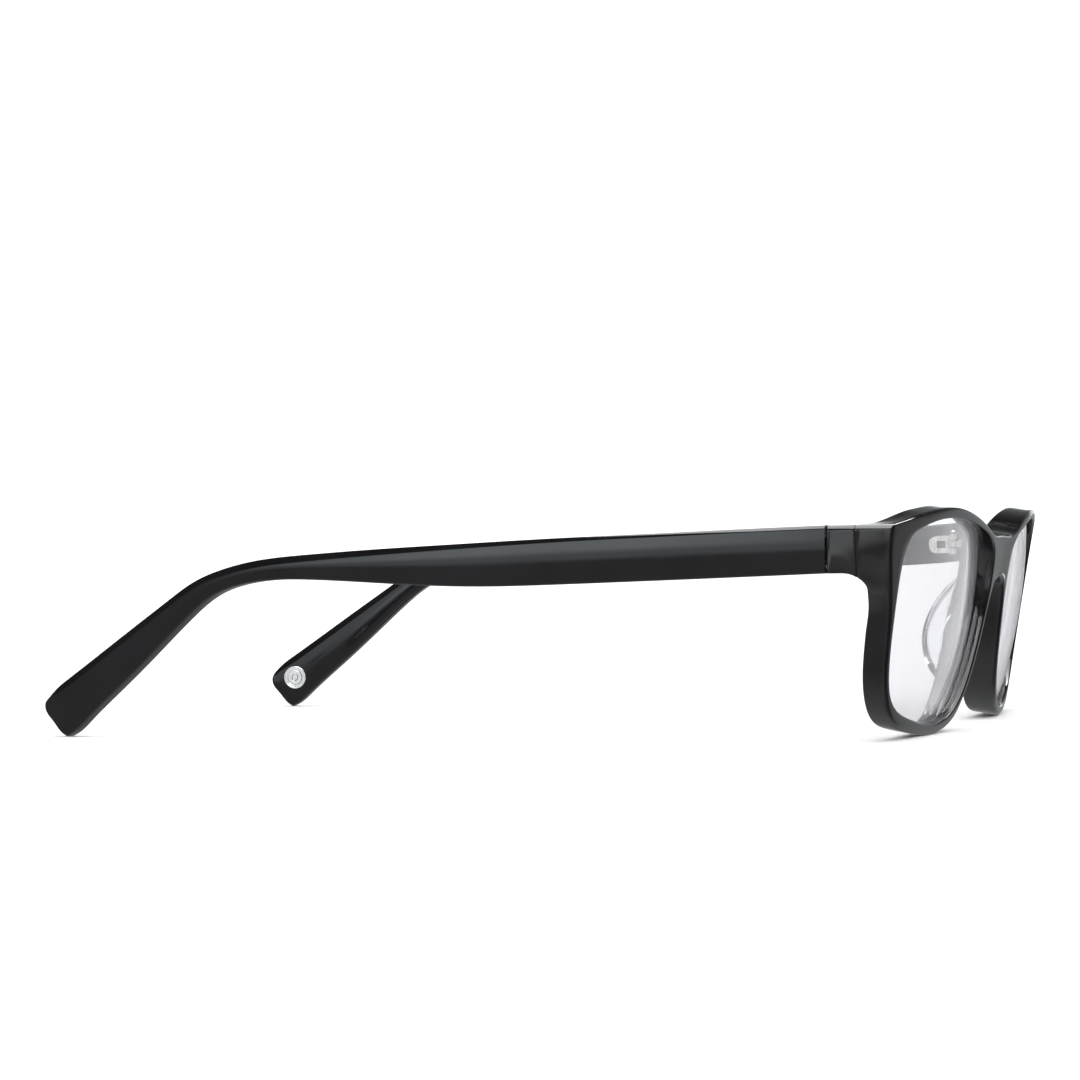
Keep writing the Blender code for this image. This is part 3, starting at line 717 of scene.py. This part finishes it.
def make_lens(name, material):
    """The left lens: two spherical faces and a bevelled edge that lies in the rim's groove."""
    shares = [(r / LENS_RINGS) ** LENS_RING_EASE for r in range(LENS_RINGS + 1)]
    centre = np.array(EYE_CENTRE)
    vertices = []
    for k in range(LENS_SPOKES):
        index = k / LENS_SPOKES * len(RIM)
        edge = opening_at(index)
        normal = side_of(opening_at, index)
        normal = normal if np.dot(normal, edge - centre) > 0 else -normal
        face = [mix(centre, edge - normal * LENS_GAP, share) for share in shares]
        bevel = edge + normal * (GROOVE_DEEP - LENS_GAP)
        line = [(point, -LENS_THICK / 2.0) for point in face] + [(bevel, 0.0)]
        line += [(point, LENS_THICK / 2.0) for point in reversed(face)]
        vertices += [front_point(s, v, lens_depth(s, v) + behind) for (s, v), behind in line]
    rows = 2 * LENS_RINGS + 3
    faces = grid_faces(LENS_SPOKES, rows, loop_columns=True)
    lens = mesh_object(name, vertices, faces, material)
    lens.data.set_sharp_from_angle(angle=FINE_SHARP)
    return lens


# ---------------------------------------------------------------- temples

# Side view, in millimetres back from the joint and up from the floor: top edge, then the bottom edge
# facing it.
TEMPLE_ROWS = [
    (0.15, 33.8, 0.15, 26.4),
    (14.0, 33.35, 14.0, 25.9),
    (28.5, 32.8, 28.5, 25.4),
    (45.0, 32.2, 44.0, 24.9),
    (62.5, 31.4, 60.0, 24.65),
    (78.3, 30.6, 76.0, 25.3),
    (89.0, 29.9, 87.0, 25.85),
    (97.7, 29.0, 95.5, 25.75),
    (103.5, 27.7, 101.0, 24.85),
    (109.0, 25.6, 105.0, 23.35),
    (113.5, 22.75, 109.5, 20.1),
    (120.0, 18.3, 116.0, 14.2),
    (127.0, 13.45, 123.0, 7.95),
    (132.6, 9.6, 129.4, 2.3),
    (134.6, 8.15, 131.2, 0.75),
    (136.2, 6.6, 132.55, 0.02),
]
TIP_ROW = 13
TIP_END = [(132.55, 0.02), (133.5, 0.6), (135.1, 2.5), (136.4, 4.1), (136.65, 5.2), (136.2, 6.6)]
JOINT_INDICES = [0.0, 0.012, 0.03]
ROW_STEPS = 6
TIP_SHARES = (0.0, 0.25, 0.45, 0.6, 0.72, 0.82, 0.9, 0.95, 0.98, 1.0)
END_STEPS = 40
TEMPLE_LENGTH = 136.0
TEMPLE_EDGE = 0.35
MITRE_LENGTH = 12.0
CROWN = 0.16

# The chamfer: how it widens toward the tip, and how flat it is.
CHAMFER_AT_JOINT = 0.5
CHAMFER_AT_TIP = 1.25
CHAMFER_SPAN = (30.0, 85.0)
CHAMFER_SLOPE = 0.75
INNER_CHAMFER = 0.85
FLAT_AT_JOINT = 0.6
FLAT_SPAN = (35.0, 50.0)

# Rows of points over a face, as distances from its bottom edge and as shares of the chamfer.
BOTTOM_ROWS = (0.0, 0.02, 0.06, 0.13, 0.23, TEMPLE_EDGE, 0.55)
CHAMFER_ROWS = (1.0, 0.95, 0.75, 0.55, 0.35, 0.18, 0.07, 0.02, 0.0)
CHAMFER_LEAD = ((1.1, 0.35), (1.06, 0.1))
MIDDLE_ROWS = 9


def temple_thickness(back):
    return mix(TEMPLE_THICK, TIP_THICK, back / TEMPLE_LENGTH)


def chamfer_width(back):
    return mix(CHAMFER_AT_JOINT, CHAMFER_AT_TIP, rise(back, CHAMFER_SPAN))


def temple_place(side, inward, back, up):
    """From temple axes (inward from its outer face, back from the joint, up) to the frame."""
    x = side * JOINT_X - side * inward * cos(TOE_IN) - side * back * sin(TOE_IN)
    y = JOINT_Y + back * cos(TOE_IN) - inward * sin(TOE_IN)
    return np.array((x, y, up))


def temple_stations():
    """Pairs of top and bottom points, and for the tip a bowed line between them."""
    top_at = smooth_line([(row[0], row[1]) for row in TEMPLE_ROWS])
    bottom_at = smooth_line([(row[2], row[3]) for row in TEMPLE_ROWS])
    end_at = smooth_line(TIP_END)
    tip_rows = len(TEMPLE_ROWS) - 1 - TIP_ROW
    indices = JOINT_INDICES + [k / ROW_STEPS for k in range(1, TIP_ROW * ROW_STEPS)]
    indices += [TIP_ROW + share * tip_rows for share in TIP_SHARES]
    start_top = top_at(TIP_ROW)
    start_bottom = bottom_at(TIP_ROW)
    stations = []
    for index in indices:
        top = top_at(index)
        bottom = bottom_at(index)
        bow = max(index - TIP_ROW, 0.0) / tip_rows

        def line(share, top=top, bottom=bottom, bow=bow):
            straight = mix(bottom, top, share)
            if bow == 0.0:
                return straight
            far = end_at(share * (len(TIP_END) - 1))
            near = mix(start_bottom, start_top, share)
            corner_low = mix(start_bottom, np.array(TIP_END[0]), bow)
            corner_high = mix(start_top, np.array(TIP_END[-1]), bow)
            return straight + mix(near, far, bow) - mix(corner_low, corner_high, share)

        stations.append(line)
    return stations


def make_temple(material):
    """The left temple: crowned faces, a wide chamfer along the top edges and soft rounds elsewhere."""
    stations = temple_stations()
    outline = [line(1.0) for line in stations]
    outline += [stations[-1](k / END_STEPS) for k in range(END_STEPS - 1, 0, -1)]
    outline = np.array(outline + [line(0.0) for line in reversed(stations)])
    starts, ends = outline[:-1], outline[1:]
    spans = ends - starts
    lengths = np.maximum((spans ** 2).sum(axis=1), 1e-12)

    def edge_distance(point):
        share = np.clip(((point - starts) * spans).sum(axis=1) / lengths, 0.0, 1.0)
        return np.sqrt((((starts + spans * share[:, None]) - point) ** 2).sum(axis=1).min())

    def inset(point, share, from_top, outer):
        """How far a face lies inside the flat plate at a point."""
        back = point[0]
        chamfer = chamfer_width(back) * (1.0 if outer else INNER_CHAMFER)
        crown = CROWN * (2.0 * share - 1.0) ** 2
        distance = edge_distance(point)
        depth = crown
        if distance < TEMPLE_EDGE:
            depth += TEMPLE_EDGE * (1.0 - sqrt(max(1.0 - (1.0 - distance / TEMPLE_EDGE) ** 2, 0.0)))
        if from_top < chamfer:
            climb = 1.0 - from_top / chamfer
            curved = 1.0 - sqrt(max(1.0 - climb * climb, 0.0))
            flat = mix(FLAT_AT_JOINT, 1.0, rise(back, FLAT_SPAN))
            depth = max(depth, crown + CHAMFER_SLOPE * chamfer * mix(curved, climb, flat))
        return depth

    columns = []
    for line in stations:
        height = np.linalg.norm(line(1.0) - line(0.0))
        chamfer = chamfer_width(line(0.5)[0])
        from_top = [factor * chamfer + gap for factor, gap in CHAMFER_LEAD]
        from_top += [chamfer * share for share in CHAMFER_ROWS]
        shares = [distance / height for distance in BOTTOM_ROWS]
        low, high = BOTTOM_ROWS[-1] / height, 1.0 - from_top[0] / height
        shares += [mix(low, high, k / MIDDLE_ROWS) for k in range(1, MIDDLE_ROWS)]
        shares += [1.0 - distance / height for distance in from_top]
        outer_side = []
        inner_side = []
        for share in shares:
            point = line(share)
            thick = temple_thickness(point[0])
            top_gap = (1.0 - share) * height
            mitre = smoothstep(1.0 - point[0] / MITRE_LENGTH) * tan(TOE_IN)
            outer = inset(point, share, top_gap, True)
            inner = thick - inset(point, share, top_gap, False)
            outer_side.append(temple_place(1, outer, point[0] + outer * mitre, point[1]))
            inner_side.append(temple_place(1, inner, point[0] + inner * mitre, point[1]))
        columns.append(outer_side + inner_side[::-1])
    rows = len(columns[0])
    vertices = [point for column in columns for point in column]
    faces = grid_faces(len(columns), rows, loop_rows=True)
    half = rows // 2
    last = (len(columns) - 1) * rows
    for r in range(half - 1):
        faces.append((r, r + 1, rows - 2 - r, rows - 1 - r))
        faces.append((last + r + 1, last + r, last + rows - 1 - r, last + rows - 2 - r))
    temple = mesh_object("acetate_temple_left", vertices, faces, material)
    temple.data.set_sharp_from_angle(angle=TEMPLE_SHARP)
    return temple


# ---------------------------------------------------------------- nose pads

PAD_THICK = 2.2
PAD_CENTRE = (10.1, 14.6)
PAD_LEAN = radians(21.0)
PAD_SPLAY = radians(24.0)
PAD_ROUND = 0.9
PAD_ARC = [
    (0.0, 7.9), (1.0, 6.7), (1.9, 5.2), (2.7, 3.3), (3.2, 1.3),
    (3.4, -0.8), (3.15, -3.0), (2.4, -5.3), (1.3, -7.2), (0.0, -8.6),
]
PAD_GAP = 0.1
PAD_COLUMNS = 96
PAD_RINGS = 12


def make_pad(material):
    """The left nose pad: a clear half moon, rounded along its arc and bonded along its straight side."""
    arc_at = smooth_line(PAD_ARC)
    curve = np.array([arc_at(k / PAD_COLUMNS * (len(PAD_ARC) - 1)) for k in range(PAD_COLUMNS + 1)])
    starts, spans = curve[:-1], np.diff(curve, axis=0)
    lengths = (spans ** 2).sum(axis=1)
    vertices = []
    for k in range(PAD_COLUMNS + 1):
        base = np.array((0.0, mix(PAD_ARC[0][1], PAD_ARC[-1][1], k / PAD_COLUMNS)))
        line = []
        for r in range(PAD_RINGS + 1):
            point = mix(base, curve[k], 1.0 - (1.0 - r / PAD_RINGS) ** 2.0)
            along = np.clip(((point - starts) * spans).sum(axis=1) / lengths, 0.0, 1.0)
            gap = np.sqrt((((starts + spans * along[:, None]) - point) ** 2).sum(axis=1).min())
            inside = max(1.0 - gap / PAD_ROUND, 0.0)
            line.append((point, PAD_THICK / 2.0 * sqrt(max(1.0 - inside ** 2, 0.0))))
        line += [(point, -thick) for point, thick in line[-2::-1]]
        for (stands, up), thick in line:
            along = PAD_CENTRE[0] - up * tan(PAD_LEAN) + stands * tan(PAD_SPLAY) + thick
            behind = front_depth(along) + PAD_GAP + stands
            vertices.append(front_point(along, PAD_CENTRE[1] + up, behind))
    faces = grid_faces(PAD_COLUMNS + 1, 2 * PAD_RINGS + 1, loop_rows=True)
    return mesh_object("clear_nose_pad_left", vertices, faces, material)


# ---------------------------------------------------------------- inlay

INLAY_PLACE = (132.0, 5.6)
INLAY_SIDES = 96
INLAY_PROFILE = [
    (0.0, 0.02), (0.5, 0.02), (0.56, -0.02), (0.62, -0.02), (0.68, 0.02), (1.32, 0.02), (1.38, -0.02),
    (1.44, -0.02), (1.5, 0.02), (1.84, 0.02), (1.92, 0.06), (2.08, 0.06), (2.15, 0.0), (2.15, -0.4),
]


def make_inlay(material):
    """The left temple's round metal inlay, plain but for its turned rings and polished edge."""
    back, up = INLAY_PLACE
    face = temple_thickness(back)
    vertices = []
    for k in range(INLAY_SIDES):
        turn = 2.0 * pi * k / INLAY_SIDES
        for radius, height in INLAY_PROFILE:
            across = back + radius * cos(turn)
            vertices.append(temple_place(1, face + height, across, up + radius * sin(turn)))
    rows = len(INLAY_PROFILE)
    faces = grid_faces(INLAY_SIDES, rows, loop_columns=True)
    faces.append(tuple(k * rows + rows - 1 for k in range(INLAY_SIDES)))
    disc = mesh_object("turned_inlay_left", vertices, faces, material)
    disc.data.set_sharp_from_angle(angle=FINE_SHARP)
    return disc


# ---------------------------------------------------------------- studio

def add_math(tree, operation, first, second):
    """One maths node; each operand is a socket or a plain number."""
    node = tree.nodes.new("ShaderNodeMath")
    node.operation = operation
    for i, operand in enumerate((first, second)):
        if isinstance(operand, float):
            node.inputs[i].default_value = operand
        else:
            tree.links.new(operand, node.inputs[i])
    return node.outputs["Value"]


def add_step(tree, value, span, low=0.0, high=1.0):
    """A smooth step from low to high while the value goes over a span."""
    node = tree.nodes.new("ShaderNodeMapRange")
    node.interpolation_type = "SMOOTHSTEP"
    node.inputs["From Min"].default_value, node.inputs["From Max"].default_value = span
    node.inputs["To Min"].default_value = low
    node.inputs["To Max"].default_value = high
    tree.links.new(value, node.inputs["Value"])
    return node.outputs["Result"]


def add_window(tree, value, edges, level=1.0):
    """A level between two soft edges: it rises over the first two values and falls over the last two."""
    rising = add_step(tree, value, edges[:2])
    return add_math(tree, "MULTIPLY", rising, add_step(tree, value, edges[2:], level, 0.0))


def add_background(tree, colour, strength):
    node = tree.nodes.new("ShaderNodeBackground")
    node.inputs["Color"].default_value = (*colour, 1.0)
    if isinstance(strength, float):
        node.inputs["Strength"].default_value = strength
    else:
        tree.links.new(strength, node.inputs["Strength"])
    return node.outputs["Background"]


# Light levels. WHITE_LEVEL is the backdrop and the fill; the rest is what gloss mirrors.
WHITE_LEVEL = 1.45
ROOM_LEVEL = 0.3
ROOM_TOP_LEVEL = 0.02
ROOM_FRONT_SHARE = 0.12
GROUND_LEVEL = 0.3
SOFTBOX_LEVEL = 0.85
SOFTBOX_TOP_LEVEL = 1.5
FAR_BOX_LEVEL = 1.6
FRONT_CARD_LEVEL = 0.2
BLOCK_CARD_LEVEL = 1.4

# Where the cards hang. A turn is the angle in radians from straight sideways toward the back, a height
# is the sine of the elevation, and each pair of numbers is one soft edge.
ROOM_TURN = (-1.0, -0.5)
ROOM_HEIGHT = (0.1, 0.5)
GROUND_HEIGHT = (-0.95, -0.5)
SOFTBOX_TURN = (-0.12, -0.03, 0.5, 0.62)
SOFTBOX_BOTTOM = (-0.02, 0.015)
SOFTBOX_TOP = (0.14, 0.25)
BRIGHT_TURN = (0.36, 0.46)
BRIGHT_BOTTOM = (0.03, 0.08)
FAR_BOX_TURN = (0.1, 0.14, 0.17, 0.21)
FAR_BOX_BOTTOM = (-0.05, -0.01)
FRONT_CARD_TURN = (-0.55, -0.4, -0.22, -0.14)
FRONT_CARD_TOP = (0.05, 0.35)
BLOCK_CARD_TURN = (-0.32, -0.2, -0.06, 0.04)
BLOCK_CARD_HEIGHT = (-0.45, -0.1, 0.08, 0.2)
BLOCK_CARD_SIDE = (-0.4, -0.1)


def add_softboxes(tree, turn, height):
    """Big boxes at both sides, brighter toward the back, and a narrow one that the far temple mirrors."""
    lower = add_step(tree, height, SOFTBOX_BOTTOM, 0.0, SOFTBOX_LEVEL)
    bright_lower = add_step(tree, height, BRIGHT_BOTTOM)
    bright = add_math(tree, "MULTIPLY", add_step(tree, turn, BRIGHT_TURN), bright_lower)
    upper = add_math(tree, "MULTIPLY", bright, SOFTBOX_TOP_LEVEL)
    both = add_math(tree, "ADD", lower, upper)
    near_level = add_math(tree, "MULTIPLY", both, add_window(tree, turn, SOFTBOX_TURN))
    far_lower = add_step(tree, height, FAR_BOX_BOTTOM, 0.0, FAR_BOX_LEVEL)
    far_level = add_math(tree, "MULTIPLY", add_window(tree, turn, FAR_BOX_TURN), far_lower)
    level = add_math(tree, "ADD", near_level, far_level)
    return add_math(tree, "MULTIPLY", level, add_step(tree, height, SOFTBOX_TOP, 1.0, 0.0))


def add_room(tree, turn, height, sideways):
    """The dim room, its pale ground, a card for the front faces and one for the near endpiece."""
    above = add_step(tree, height, ROOM_HEIGHT, ROOM_LEVEL, ROOM_TOP_LEVEL)
    ceiling = add_math(tree, "MULTIPLY", above, add_step(tree, turn, ROOM_TURN, ROOM_FRONT_SHARE, 1.0))
    ground = add_step(tree, height, GROUND_HEIGHT, GROUND_LEVEL, 0.0)
    front_top = add_step(tree, height, FRONT_CARD_TOP, FRONT_CARD_LEVEL, 0.0)
    front_card = add_math(tree, "MULTIPLY", add_window(tree, turn, FRONT_CARD_TURN), front_top)
    block_side = add_step(tree, sideways, BLOCK_CARD_SIDE, 1.0, 0.0)
    block_across = add_math(tree, "MULTIPLY", add_window(tree, turn, BLOCK_CARD_TURN), block_side)
    block_high = add_window(tree, height, BLOCK_CARD_HEIGHT, BLOCK_CARD_LEVEL)
    block_card = add_math(tree, "MULTIPLY", block_across, block_high)
    cards = add_math(tree, "ADD", front_card, block_card)
    return add_math(tree, "ADD", add_math(tree, "ADD", ceiling, ground), cards)


def make_world():
    """White for the backdrop and the soft fill; the gloss mirrors a darker studio with soft cards."""
    world = bpy.data.worlds.new("studio")
    bpy.context.scene.world = world
    world.use_nodes = True
    tree = world.node_tree
    tree.nodes.clear()
    output = tree.nodes.new("ShaderNodeOutputWorld")
    coordinates = tree.nodes.new("ShaderNodeTexCoord")
    split = tree.nodes.new("ShaderNodeSeparateXYZ")
    tree.links.new(coordinates.outputs["Generated"], split.inputs["Vector"])
    sideways = split.outputs["X"]
    height = split.outputs["Z"]
    turn = add_math(tree, "ARCTAN2", split.outputs["Y"], add_math(tree, "ABSOLUTE", sideways, 0.0))
    softbox = add_softboxes(tree, turn, height)
    room = add_room(tree, turn, height, sideways)

    plain = add_background(tree, (0.97, 0.99, 1.0), room)
    boxes = add_background(tree, (0.88, 0.97, 1.0), softbox)
    mirrored_room = tree.nodes.new("ShaderNodeAddShader")
    tree.links.new(plain, mirrored_room.inputs[0])
    tree.links.new(boxes, mirrored_room.inputs[1])
    rays = tree.nodes.new("ShaderNodeLightPath")
    blend = tree.nodes.new("ShaderNodeMixShader")
    tree.links.new(rays.outputs["Is Glossy Ray"], blend.inputs["Fac"])
    tree.links.new(add_background(tree, (1.0, 1.0, 1.0), WHITE_LEVEL), blend.inputs[1])
    tree.links.new(mirrored_room.outputs["Shader"], blend.inputs[2])
    tree.links.new(blend.outputs["Shader"], output.inputs["Surface"])


FLOOR_GREY = (0.96, 0.96, 0.96, 1.0)
FLOOR_ROUGHNESS = 0.9
FLOOR_REACH = 6.0
FLOOR_DROP = 0.00002


def make_floor():
    material, _, shader, _ = node_material("pale_floor")
    shader.inputs["Base Color"].default_value = FLOOR_GREY
    shader.inputs["Roughness"].default_value = FLOOR_ROUGHNESS
    shader.inputs["Specular IOR Level"].default_value = 0.0
    mesh = bpy.data.meshes.new("floor")
    corners = [(x * FLOOR_REACH, y * FLOOR_REACH, 0.0) for x, y in ((-1, -1), (1, -1), (1, 1), (-1, 1))]
    mesh.from_pydata(corners, [], [(0, 1, 2, 3)])
    floor = bpy.data.objects.new("floor", mesh)
    mesh.materials.append(material)
    bpy.context.scene.collection.objects.link(floor)
    floor.location.z = -FLOOR_DROP
    floor.visible_glossy = False


CAMERA_PLACE = (-0.61098, -0.18108, 0.03308)
CAMERA_YAW = radians(17.02)
CAMERA_PITCH = radians(-0.112)
CAMERA_ROLL = radians(-0.598)
CAMERA_LENS = 121.667
CAMERA_SENSOR = 36.0
CAMERA_CLIP = 0.01


def make_camera():
    """The photograph's view: low, level and well to the wearer's right."""
    level = cos(CAMERA_PITCH)
    ahead = Vector((cos(CAMERA_YAW) * level, sin(CAMERA_YAW) * level, sin(CAMERA_PITCH)))
    right = Vector((sin(CAMERA_YAW), -cos(CAMERA_YAW), 0.0))
    up = right.cross(ahead)
    right_rolled = right * cos(CAMERA_ROLL) + up * sin(CAMERA_ROLL)
    up_rolled = up * cos(CAMERA_ROLL) - right * sin(CAMERA_ROLL)
    lens = bpy.data.cameras.new("camera")
    lens.lens = CAMERA_LENS
    lens.sensor_width = CAMERA_SENSOR
    lens.clip_start = CAMERA_CLIP
    camera = bpy.data.objects.new("camera", lens)
    bpy.context.scene.collection.objects.link(camera)
    turn = Matrix((right_rolled, up_rolled, -ahead)).transposed()
    camera.matrix_world = Matrix.Translation(CAMERA_PLACE) @ turn.to_4x4()
    bpy.context.scene.camera = camera


OVERHEAD_PLACE = (0.0, -0.07, 0.45)
OVERHEAD_TARGET = (0.0, -0.07, 0.0)
OVERHEAD_SIZE = (1.3, 0.46)
OVERHEAD_POWER = 15.0
MOST_BOUNCES = 16


def make_overhead():
    """A long light over the front half; it shows in the chamfers of the top edges."""
    lamp = bpy.data.lights.new("overhead", "AREA")
    lamp.shape = "RECTANGLE"
    lamp.size, lamp.size_y = OVERHEAD_SIZE
    lamp.energy = OVERHEAD_POWER
    strip = bpy.data.objects.new("overhead", lamp)
    bpy.context.scene.collection.objects.link(strip)
    strip.location = OVERHEAD_PLACE
    direction = Vector(OVERHEAD_TARGET) - Vector(OVERHEAD_PLACE)
    strip.rotation_euler = direction.to_track_quat("-Z", "Y").to_euler()
    strip.visible_camera = False
    strip.visible_diffuse = False


def make_studio():
    make_world()
    make_overhead()
    make_floor()
    make_camera()
    scene = bpy.context.scene
    scene.view_settings.view_transform = "Standard"
    scene.view_settings.look = "None"
    scene.cycles.max_bounces = MOST_BOUNCES
    scene.cycles.transmission_bounces = MOST_BOUNCES
    scene.cycles.transparent_max_bounces = MOST_BOUNCES


# ---------------------------------------------------------------- the whole object

# Metals: dark and light colour, lowest and highest roughness, stretch of the fine lines and metallic share.
METALS = {
    "nickel_silver": ((0.8, 0.78, 0.72), (0.93, 0.91, 0.86), 0.2, 0.4, (1.0, 1.0, 0.1), 0.55),
    "screw_steel": ((0.66, 0.66, 0.66), (0.8, 0.8, 0.8), 0.12, 0.3, (1.0, 1.0, 0.2), 1.0),
    "inlay_metal": ((0.66, 0.66, 0.67), (0.74, 0.74, 0.74), 0.2, 0.4, (0.2, 1.0, 1.0), 0.6),
    "core_wire_steel": ((0.5, 0.5, 0.5), (0.6, 0.6, 0.6), 0.3, 0.45, (1.0, 0.1, 1.0), 1.0),
}
CAD_METALS = {
    "front_hinge_leaf": "nickel_silver",
    "temple_hinge_leaf": "nickel_silver",
    "hinge_screw": "screw_steel",
    "temple_core_wire": "core_wire_steel",
}


def dress_cad_node(node, material):
    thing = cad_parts[node]
    thing.data.materials.clear()
    thing.data.materials.append(material)


def main():
    make_studio()
    acetate = acetate_material()
    resin = lens_material()
    clear = pad_material()
    metals = {name: metal_material(name, *looks) for name, looks in METALS.items()}

    front = make_front_body(acetate)
    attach(front, "front")
    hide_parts("front_frame")

    pieces = {
        "endpiece": (make_endpiece(acetate), "acetate_endpiece", "front", "black_acetate"),
        "lens": (make_lens("demo_lens_left", resin), "demo_lens", "front", "lens_resin"),
        "nose_pad": (make_pad(clear), "clear_nose_pad", "front", "clear_acetate"),
        "temple": (make_temple(acetate), "acetate_temple", "temple", "black_acetate"),
        "inlay_disc": (make_inlay(metals["inlay_metal"]), "turned_inlay", "temple", "inlay_metal"),
    }
    for node, (left, stem, body, slot) in pieces.items():
        for name, side in SIDES.items():
            piece = left if side > 0 else mirrored(left, f"{stem}_{name}")
            piece.name = f"{stem}_{name}"
            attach(piece, body if body == "front" else f"temple_{name}")
            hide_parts(f"{node}_{name}")
    for name in SIDES:
        for stem, metal in CAD_METALS.items():
            dress_cad_node(f"{stem}_{name}", metals[metal])


main()
